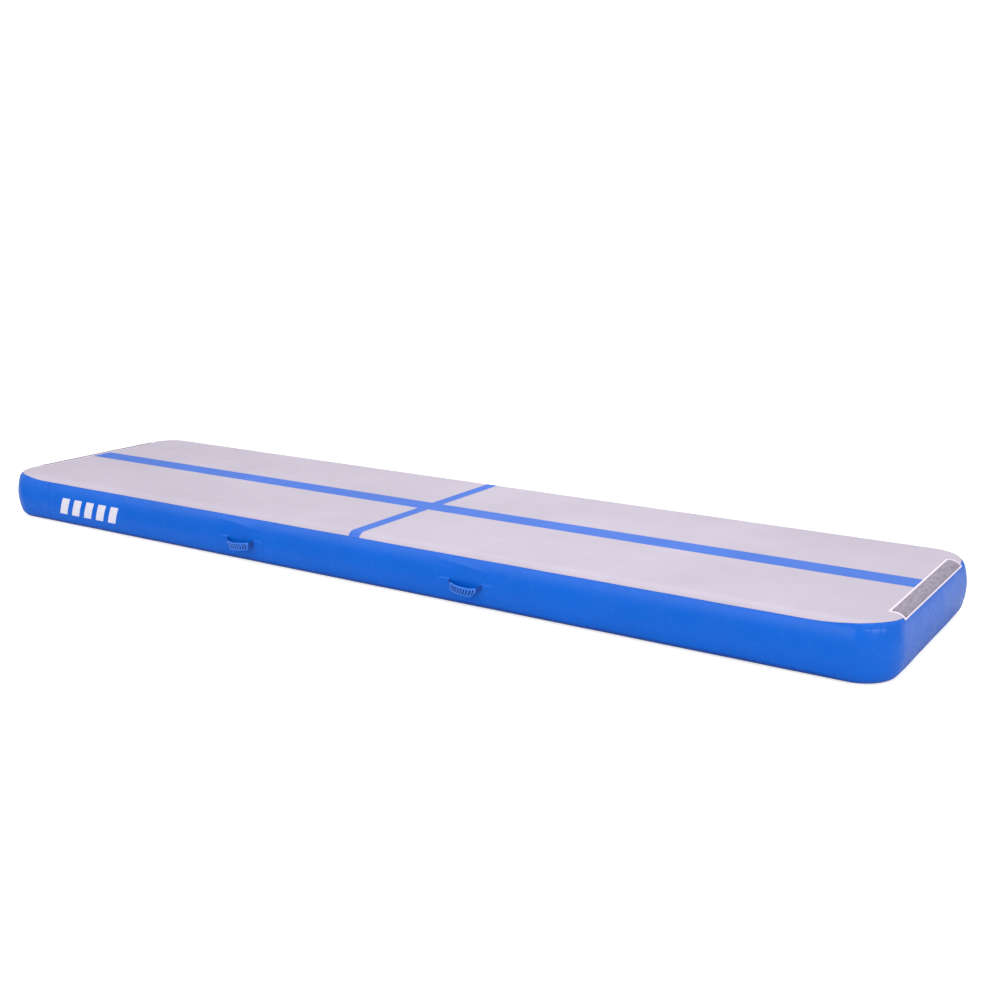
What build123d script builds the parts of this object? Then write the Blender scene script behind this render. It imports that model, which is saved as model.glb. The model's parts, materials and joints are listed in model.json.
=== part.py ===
"""Air track mat: an inflated drop-stitch gymnastics mat with carry handles and an inflation valve.

Units are millimetres. +X runs along the mat, +Z is up, and the origin is the middle of the
underside. The rim's outline is given in rim coordinates: u runs outward from the line where the
flat deck ends, v runs up from mid-height, and an angle is the direction of the outline's normal,
90 on the deck, 0 at the widest line and -90 on the underside.
"""

import os
from math import copysign, cos, radians, sin

from build123d import *

os.makedirs("parts", exist_ok=True)

# ---------------------------------------------------------------- driving dimensions
LENGTH = 4000.0
WIDTH = 1000.0
HEIGHT = 200.0
PLAN_RADIUS = 140.0  # corner seen from above, at the widest line
SHOULDER_RADIUS = 38.0
WALL_HALF_ANGLE = 18.0  # the bulged wall is an arc between normals of -18 and 18 degrees
SKIN = 1.0  # laminated PVC cloth
DECK_EDGE_ANGLE = 33.0  # the deck skin laps over the shoulder down to this normal
SEAM_X = 1735.0  # where the end bands overlap the long bands
LAP_WIDTH = 30.0
LAP_PROUD = 0.8

CENTRE_STRIPE_WIDTH = 100.0
CROSS_STRIPE_WIDTH = 50.0
STRIPE_THICKNESS = 0.3

END_PATCH_LENGTH = 680.0
END_PATCH_INNER_X = 1932.0
END_PATCH_EDGE_ANGLE = 31.0
END_PATCH_THICKNESS = 0.6
HOOK_LENGTH = 658.0
HOOK_INNER_X = 1940.0
HOOK_EDGE_ANGLE = 39.0
HOOK_THICKNESS = 1.6

PRINT_START_X = -1635.0
PRINT_BAR_COUNT = 5
PRINT_BAR_PITCH = 76.0
PRINT_BAR_WIDTH = 46.0
PRINT_BAR_SLANT = 30.0
PRINT_LOW_Z = 54.0
PRINT_HIGH_Z = 126.0
PRINT_THICKNESS = 0.2

YARN_RADIUS = 0.75
YARN_PITCH_X = 150.0
YARN_PITCH_Y = 130.0
YARN_COUNT_X = 25
YARN_COUNT_Y = 7

HANDLE_LEFT_X = -559.0
HANDLE_RIGHT_X = 507.0
HANDLE_AXIS_Z = 95.0
HANDLE_AXIS_OUT = 4.5  # hinge line's distance from the widest line of the wall
HANDLE_SPAN = 138.0
HANDLE_STANDOFF = 26.0
HANDLE_SAG = 12.0
WEBBING_HEIGHT = 28.0
WEBBING_THICKNESS = 2.5
WEBBING_ABOVE_AXIS = 1.5
GRIP_LENGTH = 108.0
GRIP_HEIGHT = 32.0
GRIP_THICKNESS = 8.0
GRIP_RIB_COUNT = 9
GRIP_RIB_PITCH = 10.5
GRIP_GROOVE_WIDTH = 3.0
GRIP_GROOVE_DEPTH = 1.5
HANDLE_PATCH_LENGTH = 230.0
HANDLE_PATCH_HEIGHT = 126.0
HANDLE_PATCH_Z = 85.0
HANDLE_PATCH_CORNER = 28.0
ANCHOR_LENGTH = 38.0
ANCHOR_HEIGHT = 32.0
ANCHOR_THICKNESS = 1.2
POCKET_MARGIN = 2.0

VALVE_X = -1600.0
VALVE_Z = HEIGHT / 2
BORE_RADIUS = 14.0
BORE_TOP = 3.0
BORE_STOP = -8.0  # the hose end seats here
THROAT_RADIUS = 13.4
MOUTH_RADIUS = 16.5
MOUTH_OUT = 8.0
COLLAR_RADIUS = 18.5
FLANGE_RADIUS = 30.0
FLANGE_LOW = 0.6
FLANGE_HIGH = 4.1
BARREL_RADIUS = 21.0
BARREL_END = -36.0
SEAT_RADIUS = 10.5
SEAT_HIGH = -26.5
SEAT_LOW = -29.5
CAGE_RADIUS = 17.0
STEM_RADIUS = 2.4
BUTTON_RADIUS = 6.0
BUTTON_HIGH = -8.8
BUTTON_LOW = -12.0
GUIDE_HIGH = -24.0
GUIDE_LOW = -26.4
TETHER_AXIS_X = 27.0
TETHER_AXIS_OUT = 7.15

# ---------------------------------------------------------------- derived sizes
MID_Z = HEIGHT / 2
HALF_HEIGHT = MID_Z - SKIN  # of the wall bands, under the deck and bottom skins
SHOULDER_V = HALF_HEIGHT - SHOULDER_RADIUS
SLOPE_SIN = sin(radians(WALL_HALF_ANGLE))
SLOPE_COS = cos(radians(WALL_HALF_ANGLE))
WALL_RADIUS = (SHOULDER_V + SHOULDER_RADIUS * SLOPE_SIN) / SLOPE_SIN
RIM_INSET = SHOULDER_RADIUS * SLOPE_COS + WALL_RADIUS * (1 - SLOPE_COS)
RIM_X = LENGTH / 2 - RIM_INSET
RIM_Y = WIDTH / 2 - RIM_INSET
RIM_RADIUS = PLAN_RADIUS - RIM_INSET
FRONT, BACK = -1, 1
LEFT, RIGHT = -1, 1


# ---------------------------------------------------------------- planes and profiles
def side_plane(side, x):
    """Plane across the front or back rim: local x outward, local y up, normal along side * X."""
    return Plane(origin=(x, side * RIM_Y, MID_Z), x_dir=(0, side, 0), z_dir=(side, 0, 0))


def end_plane(end, y):
    """Plane across an end rim: local x outward, local y up, normal along -end * Y."""
    return Plane(origin=(end * RIM_X, y, MID_Z), x_dir=(end, 0, 0), z_dir=(0, -end, 0))


def elevation_plane(side, x, z):
    """Upright plane on the widest line of the front or back wall, normal outward."""
    return Plane(origin=(x, side * WIDTH / 2, z), x_dir=(-side, 0, 0), z_dir=(0, side, 0))


def plan_plane(side, x, z):
    """Level plane on the widest line of the front or back wall, local y outward."""
    return Plane(origin=(x, side * WIDTH / 2, z), x_dir=(side, 0, 0), z_dir=(0, 0, 1))


def rim_point(offset, angle):
    """Point of the rim's outline, moved outward by offset, where its normal is at angle."""
    if abs(angle) <= WALL_HALF_ANGLE:
        centre = (RIM_INSET - WALL_RADIUS, 0.0)
        radius = WALL_RADIUS + offset
    else:
        centre = (0.0, copysign(SHOULDER_V, angle))
        radius = SHOULDER_RADIUS + offset
    return (
        centre[0] + radius * cos(radians(angle)),
        centre[1] + radius * sin(radians(angle)),
    )


def rim_strip(plane, inner, outer, top, bottom, flat=0.0):
    """Face between two offsets of the rim's outline, from normal top down to normal bottom.

    flat runs the strip on over the level deck by that much, towards the mat's middle.
    """
    joints = [a for a in (WALL_HALF_ANGLE, -WALL_HALF_ANGLE) if bottom < a < top]
    stops = [top, *joints, bottom]
    with BuildSketch(plane) as strip:
        with BuildLine():
            for offset in (inner, outer):
                for high, low in zip(stops, stops[1:]):
                    ThreePointArc(
                        rim_point(offset, high),
                        rim_point(offset, (high + low) / 2),
                        rim_point(offset, low),
                    )
            for angle in (top, bottom):
                Line(rim_point(inner, angle), rim_point(outer, angle))
        make_face()
        if flat:
            middle = HALF_HEIGHT + (inner + outer) / 2
            with Locations((-flat / 2, middle)):
                Rectangle(flat, outer - inner)
    return strip.sketch


def finish(part, name):
    """Label a finished piece and write it."""
    part.label = name
    export_step(part, f"parts/{name}.step")


with BuildLine(Plane.XY.offset(MID_Z)) as right_rim_path:
    FilletPolyline((0, -RIM_Y), (RIM_X, -RIM_Y), (RIM_X, RIM_Y), (0, RIM_Y), radius=RIM_RADIUS)

with BuildLine(Plane.XY.offset(MID_Z)) as right_band_path:
    FilletPolyline(
        (SEAM_X, -RIM_Y), (RIM_X, -RIM_Y), (RIM_X, RIM_Y), (SEAM_X, RIM_Y), radius=RIM_RADIUS
    )


# ---------------------------------------------------------------- stripes on the deck
with BuildPart() as centre_stripe:
    with BuildSketch(Plane.XY.offset(HEIGHT - STRIPE_THICKNESS)):
        Rectangle(2 * END_PATCH_INNER_X, CENTRE_STRIPE_WIDTH)
    extrude(amount=STRIPE_THICKNESS)

with BuildPart() as cross_stripe:
    for side in (FRONT, BACK):
        cross_start = side_plane(side, -side * CROSS_STRIPE_WIDTH / 2)
        cross_profile = rim_strip(
            cross_start,
            SKIN - STRIPE_THICKNESS,
            SKIN,
            90,
            DECK_EDGE_ANGLE,
            flat=RIM_Y - CENTRE_STRIPE_WIDTH / 2,
        )
        extrude(cross_profile, amount=CROSS_STRIPE_WIDTH)

finish(centre_stripe.part, "centre_stripe")
finish(cross_stripe.part, "cross_stripe")


# ---------------------------------------------------------------- joining strips at the ends
end_patches = []
for end, patch_name, strip_name in (
    (LEFT, "left_end_patch", "left_end_loop_strip"),
    (RIGHT, "right_end_patch", "right_end_hook_strip"),
):
    with BuildPart() as end_patch:
        patch_profile = rim_strip(
            end_plane(end, end * END_PATCH_LENGTH / 2),
            SKIN - END_PATCH_THICKNESS,
            SKIN,
            90,
            END_PATCH_EDGE_ANGLE,
            flat=RIM_X - END_PATCH_INNER_X,
        )
        extrude(patch_profile, amount=END_PATCH_LENGTH)

    with BuildPart() as hook_strip:
        hook_profile = rim_strip(
            end_plane(end, end * HOOK_LENGTH / 2),
            SKIN,
            SKIN + HOOK_THICKNESS,
            90,
            HOOK_EDGE_ANGLE,
            flat=RIM_X - HOOK_INNER_X,
        )
        extrude(hook_profile, amount=HOOK_LENGTH)

    end_patches.append(end_patch.part)
    finish(end_patch.part, patch_name)
    finish(hook_strip.part, strip_name)


# ---------------------------------------------------------------- deck and bottom skins
with BuildPart() as top_deck_skin:
    with BuildSketch(Plane.XY.offset(HEIGHT - SKIN)):
        RectangleRounded(2 * RIM_X, 2 * RIM_Y, RIM_RADIUS)
    extrude(amount=SKIN)
    deck_rim = rim_strip(side_plane(FRONT, 0), 0, SKIN, 90, DECK_EDGE_ANGLE)
    sweep(deck_rim, path=right_rim_path.wire())
    mirror(about=Plane.YZ)
    add(centre_stripe.part, mode=Mode.SUBTRACT)
    add(cross_stripe.part, mode=Mode.SUBTRACT)
    for patch in end_patches:
        add(patch, mode=Mode.SUBTRACT)

with BuildPart() as bottom_skin:
    with BuildSketch():
        RectangleRounded(2 * RIM_X, 2 * RIM_Y, RIM_RADIUS)
    extrude(amount=SKIN)
    bottom_rim = rim_strip(side_plane(FRONT, 0), 0, SKIN, -DECK_EDGE_ANGLE, -90)
    sweep(bottom_rim, path=right_rim_path.wire())
    mirror(about=Plane.YZ)

finish(top_deck_skin.part, "top_deck_skin")
finish(bottom_skin.part, "bottom_skin")


# ---------------------------------------------------------------- yarns between deck and bottom
with BuildPart() as drop_stitch_yarns:
    with BuildSketch(Plane.XY.offset(SKIN)):
        with GridLocations(YARN_PITCH_X, YARN_PITCH_Y, YARN_COUNT_X, YARN_COUNT_Y):
            Circle(YARN_RADIUS)
    extrude(amount=HEIGHT - 2 * SKIN)

finish(drop_stitch_yarns.part, "drop_stitch_yarns")


# ---------------------------------------------------------------- side wall bands
def valve_hole_plane():
    """Plane square to the valve, outside the back wall, normal outward."""
    return elevation_plane(BACK, VALVE_X, VALVE_Z)


with BuildPart() as inner_side_band:
    inner_profile = rim_strip(side_plane(FRONT, 0), -2 * SKIN, -SKIN, 90, -90)
    sweep(inner_profile, path=right_rim_path.wire())
    mirror(about=Plane.YZ)
    with BuildSketch(valve_hole_plane()):
        Circle(BARREL_RADIUS + 0.3)
    extrude(amount=-RIM_INSET, mode=Mode.SUBTRACT)

with BuildPart() as outer_side_band_front:
    extrude(rim_strip(side_plane(FRONT, SEAM_X), -SKIN, 0, 90, -90), amount=2 * SEAM_X)

with BuildPart() as outer_side_band_back:
    extrude(rim_strip(side_plane(BACK, -SEAM_X), -SKIN, 0, 90, -90), amount=2 * SEAM_X)
    with BuildSketch(valve_hole_plane()):
        Circle(BARREL_RADIUS + 0.3)
    extrude(amount=-RIM_INSET, mode=Mode.SUBTRACT)

with BuildPart() as outer_side_band_right:
    sweep(rim_strip(side_plane(FRONT, SEAM_X), -SKIN, 0, 90, -90), path=right_band_path.wire())
    for side in (FRONT, BACK):
        lap_middle = SEAM_X - LAP_WIDTH / 2 + 3 * LAP_PROUD
        lap_start = side_plane(side, lap_middle - side * (LAP_WIDTH / 2 + 3 * LAP_PROUD))
        lap_profile = rim_strip(lap_start, 0, LAP_PROUD, DECK_EDGE_ANGLE - 1, 1 - DECK_EDGE_ANGLE)
        extrude(lap_profile, amount=LAP_WIDTH + 6 * LAP_PROUD)

with BuildPart() as outer_side_band_left:
    add(outer_side_band_right.part.mirror(Plane.YZ))

finish(inner_side_band.part, "inner_side_band")
finish(outer_side_band_front.part, "outer_side_band_front")
finish(outer_side_band_back.part, "outer_side_band_back")
finish(outer_side_band_right.part, "outer_side_band_right")
finish(outer_side_band_left.part, "outer_side_band_left")


# ---------------------------------------------------------------- plain white print on the wall
with BuildPart() as side_print:
    print_height = PRINT_HIGH_Z - PRINT_LOW_Z
    with BuildSketch(elevation_plane(FRONT, PRINT_START_X, PRINT_LOW_Z)):
        for bar in range(PRINT_BAR_COUNT):
            foot = bar * PRINT_BAR_PITCH
            with BuildLine():
                Polyline(
                    (foot, 0),
                    (foot + PRINT_BAR_WIDTH, 0),
                    (foot + PRINT_BAR_WIDTH + PRINT_BAR_SLANT, print_height),
                    (foot + PRINT_BAR_SLANT, print_height),
                    close=True,
                )
            make_face()
    extrude(amount=RIM_INSET, both=True)
    print_run = PRINT_BAR_COUNT * PRINT_BAR_PITCH + PRINT_BAR_SLANT
    print_layer = rim_strip(
        side_plane(FRONT, PRINT_START_X + print_run),
        0,
        PRINT_THICKNESS,
        DECK_EDGE_ANGLE,
        -DECK_EDGE_ANGLE,
    )
    extrude(print_layer, amount=print_run, mode=Mode.INTERSECT)

finish(side_print.part, "side_print")


# ---------------------------------------------------------------- carry handles
def bowed_strap(side, x, length, height, thickness):
    """Solid of a strap that bows out from the wall and sags, centred on the handle's span."""
    half_span = HANDLE_SPAN / 2
    half = thickness / 2
    rise = HANDLE_STANDOFF - HANDLE_AXIS_OUT
    top = WEBBING_ABOVE_AXIS + (height - WEBBING_HEIGHT) / 2
    with BuildPart(mode=Mode.PRIVATE) as strap:
        with BuildSketch(plan_plane(side, x, HANDLE_AXIS_Z - 2 * height)):
            with BuildLine():
                inner = ThreePointArc(
                    (-half_span, HANDLE_AXIS_OUT - half),
                    (0, HANDLE_AXIS_OUT + rise - half),
                    (half_span, HANDLE_AXIS_OUT - half),
                )
                outer = ThreePointArc(
                    (-half_span, HANDLE_AXIS_OUT + half),
                    (0, HANDLE_AXIS_OUT + rise + half),
                    (half_span, HANDLE_AXIS_OUT + half),
                )
                Line(inner @ 0, outer @ 0)
                Line(inner @ 1, outer @ 1)
            make_face()
        extrude(amount=3 * height)
        with BuildSketch(elevation_plane(side, x, HANDLE_AXIS_Z)):
            with BuildLine():
                upper = ThreePointArc(
                    (-half_span, top), (0, top - HANDLE_SAG), (half_span, top)
                )
                lower = ThreePointArc(
                    (-half_span, top - height),
                    (0, top - height - HANDLE_SAG),
                    (half_span, top - height),
                )
                Line(upper @ 0, lower @ 0)
                Line(upper @ 1, lower @ 1)
            make_face()
        extrude(amount=2 * HANDLE_STANDOFF, mode=Mode.INTERSECT)
        with BuildSketch(plan_plane(side, x, HANDLE_AXIS_Z - 2 * height)):
            Rectangle(length, 4 * HANDLE_STANDOFF)
        extrude(amount=3 * height, mode=Mode.INTERSECT)
    return strap.part


def wall_layer(side, x, inner, outer, length):
    """Solid layer on the wall between two offsets, length long about x."""
    start = side_plane(side, x - side * length / 2)
    return extrude(
        rim_strip(start, inner, outer, DECK_EDGE_ANGLE, -DECK_EDGE_ANGLE), amount=length
    )


for name, side, x in (
    ("front_left", FRONT, HANDLE_LEFT_X),
    ("front_right", FRONT, HANDLE_RIGHT_X),
    ("back_left", BACK, HANDLE_LEFT_X),
    ("back_right", BACK, HANDLE_RIGHT_X),
):
    anchor_x = HANDLE_SPAN / 2 + ANCHOR_LENGTH / 2 + 3
    anchor_z = HANDLE_AXIS_Z + WEBBING_ABOVE_AXIS - WEBBING_HEIGHT / 2
    pocket_step = ANCHOR_THICKNESS + SKIN
    low_layer = wall_layer(side, x, 0, SKIN, HANDLE_PATCH_LENGTH)
    pocket_layer = wall_layer(side, x, 0, pocket_step, HANDLE_PATCH_LENGTH)
    anchor_layer = wall_layer(side, x, 0, ANCHOR_THICKNESS, HANDLE_PATCH_LENGTH)

    with BuildPart() as handle_anchors:
        with BuildSketch(elevation_plane(side, x, anchor_z)):
            with Locations((-anchor_x, 0), (anchor_x, 0)):
                RectangleRounded(ANCHOR_LENGTH, ANCHOR_HEIGHT, 5)
        extrude(amount=RIM_INSET, both=True)
        add(anchor_layer, mode=Mode.INTERSECT)

    with BuildPart() as handle_pockets:
        with BuildSketch(elevation_plane(side, x, anchor_z)):
            with Locations((-anchor_x, 0), (anchor_x, 0)):
                RectangleRounded(
                    ANCHOR_LENGTH + 2 * POCKET_MARGIN, ANCHOR_HEIGHT + 2 * POCKET_MARGIN, 6
                )
        extrude(amount=RIM_INSET, both=True)
        add(pocket_layer, mode=Mode.INTERSECT)

    with BuildPart() as handle_patch:
        with BuildSketch(elevation_plane(side, x, HANDLE_PATCH_Z)):
            RectangleRounded(HANDLE_PATCH_LENGTH, HANDLE_PATCH_HEIGHT, HANDLE_PATCH_CORNER)
        extrude(amount=RIM_INSET, both=True)
        add(low_layer, mode=Mode.INTERSECT)
        add(handle_pockets.part)
        add(handle_anchors.part, mode=Mode.SUBTRACT)

    with BuildPart() as handle_webbing:
        add(
            bowed_strap(
                side, x, HANDLE_SPAN - 2 * WEBBING_THICKNESS, WEBBING_HEIGHT, WEBBING_THICKNESS
            )
        )

    with BuildPart() as handle_grip:
        add(bowed_strap(side, x, GRIP_LENGTH, GRIP_HEIGHT, GRIP_THICKNESS))
        groove_y = HANDLE_STANDOFF + GRIP_THICKNESS / 2
        with BuildSketch(plan_plane(side, x, HANDLE_AXIS_Z - 2 * GRIP_HEIGHT)):
            bow_radius = (
                (HANDLE_SPAN / 2) ** 2 + (HANDLE_STANDOFF - HANDLE_AXIS_OUT) ** 2
            ) / (2 * (HANDLE_STANDOFF - HANDLE_AXIS_OUT))
            for rib in range(GRIP_RIB_COUNT):
                groove_x = (rib - (GRIP_RIB_COUNT - 1) / 2) * GRIP_RIB_PITCH
                drop = bow_radius - (bow_radius**2 - groove_x**2) ** 0.5
                with Locations((groove_x, groove_y - drop)):
                    Rectangle(GRIP_GROOVE_WIDTH, 2 * GRIP_GROOVE_DEPTH)
        extrude(amount=3 * GRIP_HEIGHT, mode=Mode.SUBTRACT)
        add(handle_webbing.part, mode=Mode.SUBTRACT)

    finish(handle_anchors.part, f"{name}_handle_anchors")
    finish(handle_patch.part, f"{name}_handle_patch")
    finish(handle_webbing.part, f"{name}_handle_webbing")
    finish(handle_grip.part, f"{name}_handle_grip")


# ---------------------------------------------------------------- inflation valve
# Valve sections are drawn in a plane through the valve's axis: local x is the radius and local y
# the distance outward from the wall's widest line.
VALVE_SECTION = Plane(
    origin=(VALVE_X, WIDTH / 2, VALVE_Z), x_dir=(0, 0, 1), z_dir=(-1, 0, 0)
)
VALVE_AXIS = Axis((VALVE_X, WIDTH / 2, VALVE_Z), (0, 1, 0))


def across_valve(out):
    """Plane square to the valve's axis, at the given distance out from the wall."""
    return elevation_plane(BACK, VALVE_X, VALVE_Z).offset(out)


with BuildPart() as valve_body:
    with BuildSketch(VALVE_SECTION):
        with BuildLine():
            Polyline(
                (BORE_RADIUS, BORE_TOP),
                (MOUTH_RADIUS, BORE_TOP),
                (MOUTH_RADIUS, MOUTH_OUT),
                (COLLAR_RADIUS, MOUTH_OUT),
                (COLLAR_RADIUS, FLANGE_HIGH),
                (FLANGE_RADIUS - 1.2, FLANGE_HIGH),
                (FLANGE_RADIUS, FLANGE_HIGH - 1.2),
                (FLANGE_RADIUS, FLANGE_LOW),
                (BARREL_RADIUS, FLANGE_LOW),
                (BARREL_RADIUS, BARREL_END),
                (CAGE_RADIUS, BARREL_END),
                (CAGE_RADIUS, SEAT_LOW),
                (SEAT_RADIUS, SEAT_LOW),
                (SEAT_RADIUS, SEAT_HIGH),
                (THROAT_RADIUS, SEAT_HIGH),
                (THROAT_RADIUS, BORE_STOP),
                (BORE_RADIUS, BORE_STOP),
                close=True,
            )
        make_face()
    revolve(axis=VALVE_AXIS)

with BuildPart() as valve_gasket:
    with BuildSketch(across_valve(FLANGE_LOW)):
        Circle(FLANGE_RADIUS - 2)
        Circle(BARREL_RADIUS + 0.3, mode=Mode.SUBTRACT)
    extrude(amount=-6)
    gasket_layer = rim_strip(
        side_plane(BACK, VALVE_X - FLANGE_RADIUS), 0, 6, DECK_EDGE_ANGLE, -DECK_EDGE_ANGLE
    )
    extrude(gasket_layer, amount=2 * FLANGE_RADIUS, mode=Mode.INTERSECT)

with BuildPart() as valve_nut:
    with BuildSketch(across_valve(-4.2)):
        Circle(FLANGE_RADIUS - 1)
        Circle(BARREL_RADIUS + 0.05, mode=Mode.SUBTRACT)
    extrude(amount=-7)
    with BuildSketch(across_valve(-7.5)):
        with PolarLocations(FLANGE_RADIUS, 8):
            Circle(2.5)
    extrude(amount=-4, mode=Mode.SUBTRACT)

with BuildPart() as valve_guide:
    with BuildSketch(across_valve(GUIDE_HIGH)):
        Circle(THROAT_RADIUS - 0.05)
        Circle(THROAT_RADIUS - 1.6, mode=Mode.SUBTRACT)
        Circle(STEM_RADIUS + 2.4)
        with PolarLocations((THROAT_RADIUS + STEM_RADIUS) / 2, 3):
            Rectangle(THROAT_RADIUS - STEM_RADIUS - 1.6, 2.4)
        Circle(STEM_RADIUS + 0.3, mode=Mode.SUBTRACT)
    extrude(amount=GUIDE_LOW - GUIDE_HIGH)

POPPET_SEAL_HIGH = SEAT_LOW - 0.3
POPPET_HIGH = POPPET_SEAL_HIGH - 1.2
STEM_TOP = BUTTON_LOW + 1.8

with BuildPart() as valve_poppet:
    with BuildSketch(across_valve(POPPET_HIGH)):
        Circle(BORE_RADIUS - 0.6)
    extrude(amount=-2.4)
    with BuildSketch(across_valve(POPPET_HIGH)):
        Circle(STEM_RADIUS)
    extrude(amount=STEM_TOP - POPPET_HIGH)
    with BuildSketch(across_valve(POPPET_HIGH)):
        Circle(SEAT_RADIUS - 1.0)
        Circle(STEM_RADIUS + 3.0, mode=Mode.SUBTRACT)
    extrude(amount=1.2)

with BuildPart() as poppet_seal:
    with BuildSketch(across_valve(POPPET_SEAL_HIGH)):
        Circle(BORE_RADIUS - 0.8)
        Circle(SEAT_RADIUS - 0.9, mode=Mode.SUBTRACT)
    extrude(amount=POPPET_HIGH - POPPET_SEAL_HIGH)

with BuildPart() as push_button:
    with BuildSketch(across_valve(BUTTON_HIGH)):
        Circle(BUTTON_RADIUS)
    extrude(amount=BUTTON_LOW - BUTTON_HIGH)
    with BuildSketch(across_valve(BUTTON_HIGH)):
        Rectangle(8.0, 1.6)
    extrude(amount=-0.8, mode=Mode.SUBTRACT)
    with BuildSketch(across_valve(BUTTON_LOW)):
        Circle(STEM_RADIUS + 0.05)
    extrude(amount=STEM_TOP - BUTTON_LOW + 0.1, mode=Mode.SUBTRACT)

SPRING_WIRE_RADIUS = 0.45
SPRING_RADIUS = 4.1
SPRING_HIGH = BUTTON_LOW - SPRING_WIRE_RADIUS - 0.05
SPRING_LOW = GUIDE_HIGH + SPRING_WIRE_RADIUS + 0.05
SPRING_TURNS = 4.5

with BuildPart() as valve_spring:
    with BuildLine():
        coil = Helix(
            pitch=(SPRING_HIGH - SPRING_LOW) / SPRING_TURNS,
            height=SPRING_HIGH - SPRING_LOW,
            radius=SPRING_RADIUS,
            center=(VALVE_X, WIDTH / 2 + SPRING_LOW, VALVE_Z),
            direction=(0, 1, 0),
        )
    with BuildSketch(Plane(origin=coil @ 0, z_dir=coil % 0)):
        Circle(SPRING_WIRE_RADIUS)
    sweep(path=coil, is_frenet=True)

# The tether is one moulding: a ring round the collar, a fold, and a ring that holds the cap.
TETHER_WIDTH = 10.0
RING_LOW, RING_HIGH = 4.2, 5.8
LOOP_LOW, LOOP_HIGH = 8.6, 10.1

with BuildPart() as cap_tether_ring:
    with BuildSketch(across_valve(RING_LOW)):
        Circle(23.0)
        with Locations((TETHER_AXIS_X / 2, 0)):
            Rectangle(TETHER_AXIS_X, TETHER_WIDTH)
        Circle(COLLAR_RADIUS + 0.1, mode=Mode.SUBTRACT)
    extrude(amount=RING_HIGH - RING_LOW)

with BuildPart() as cap_tether_loop:
    with BuildSketch(across_valve(LOOP_LOW)):
        Circle(24.0)
        with Locations((TETHER_AXIS_X / 2, 0)):
            Rectangle(TETHER_AXIS_X, TETHER_WIDTH)
        Circle(19.6, mode=Mode.SUBTRACT)
    extrude(amount=LOOP_HIGH - LOOP_LOW)

with BuildPart() as cap_tether_fold:
    fold_plane = Plane(
        origin=(VALVE_X - TETHER_AXIS_X, WIDTH / 2 + TETHER_AXIS_OUT, VALVE_Z - TETHER_WIDTH / 2),
        x_dir=(-1, 0, 0),
        z_dir=(0, 0, 1),
    )
    with BuildSketch(fold_plane):
        Circle(LOOP_HIGH - TETHER_AXIS_OUT)
        Circle(LOOP_LOW - TETHER_AXIS_OUT, mode=Mode.SUBTRACT)
        with Locations((-TETHER_AXIS_X / 2, 0)):
            Rectangle(TETHER_AXIS_X, TETHER_AXIS_X, mode=Mode.SUBTRACT)
    extrude(amount=TETHER_WIDTH)

CAP_NECK_RADIUS = 19.2
CAP_RADIUS = 24.5
CAP_HIGH = 13.0
PLUG_RADIUS = 15.3

with BuildPart() as valve_cap:
    with BuildSketch(VALVE_SECTION):
        with BuildLine():
            Polyline(
                (0, CAP_HIGH),
                (CAP_RADIUS - 1.5, CAP_HIGH),
                (CAP_RADIUS, CAP_HIGH - 1.5),
                (CAP_RADIUS, LOOP_HIGH + 0.3),
                (CAP_NECK_RADIUS, LOOP_HIGH + 0.3),
                (CAP_NECK_RADIUS, MOUTH_OUT + 0.3),
                (PLUG_RADIUS, MOUTH_OUT + 0.3),
                (PLUG_RADIUS, 6.8),
                (PLUG_RADIUS - 1, 6.8),
                (PLUG_RADIUS - 1, 5.0),
                (PLUG_RADIUS, 5.0),
                (PLUG_RADIUS, BORE_TOP + 0.6),
                (PLUG_RADIUS - 2, BORE_TOP + 0.6),
                (PLUG_RADIUS - 2, 9.5),
                (0, 9.5),
                close=True,
            )
        make_face()
    revolve(axis=VALVE_AXIS)
    with BuildSketch(across_valve(CAP_HIGH)):
        SlotOverall(34, 6)
    extrude(amount=5)
    with BuildSketch(across_valve(LOOP_HIGH + 0.3)):
        with PolarLocations(CAP_RADIUS + 0.6, 24):
            Circle(1.1)
    extrude(amount=CAP_HIGH - LOOP_HIGH, mode=Mode.SUBTRACT)

with BuildPart() as cap_seal:
    with BuildSketch(VALVE_SECTION):
        with Locations(((PLUG_RADIUS - 1 + 16.0) / 2, 5.9)):
            Rectangle(16.0 - (PLUG_RADIUS - 1), 1.7)
    revolve(axis=VALVE_AXIS)

finish(valve_body.part, "valve_body")
finish(valve_gasket.part, "valve_gasket")
finish(valve_nut.part, "valve_nut")
finish(valve_guide.part, "valve_guide")
finish(valve_poppet.part, "valve_poppet")
finish(poppet_seal.part, "poppet_seal")
finish(push_button.part, "push_button")
finish(valve_spring.part, "valve_spring")
finish(cap_tether_ring.part, "cap_tether_ring")
finish(cap_tether_loop.part, "cap_tether_loop")
finish(cap_tether_fold.part, "cap_tether_fold")
finish(valve_cap.part, "valve_cap")
finish(cap_seal.part, "cap_seal")
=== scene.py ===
"""Looks of the air track mat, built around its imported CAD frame.

Everything is in metres, in the frame's own axes: +X along the mat, +Z up. A place on the rim is
given by s, the distance round the line where the flat deck ends, counted from the middle of the
front side towards +X, and by the angle of the outline's normal: 90 degrees on the deck, 0 at the
widest line of the wall and -90 on the underside. Offsets are outward from the side wall's skin.
"""

import json
from math import cos, pi, radians, sin

import bmesh
import bpy
import numpy as np
from mathutils import Matrix, Vector


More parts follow.
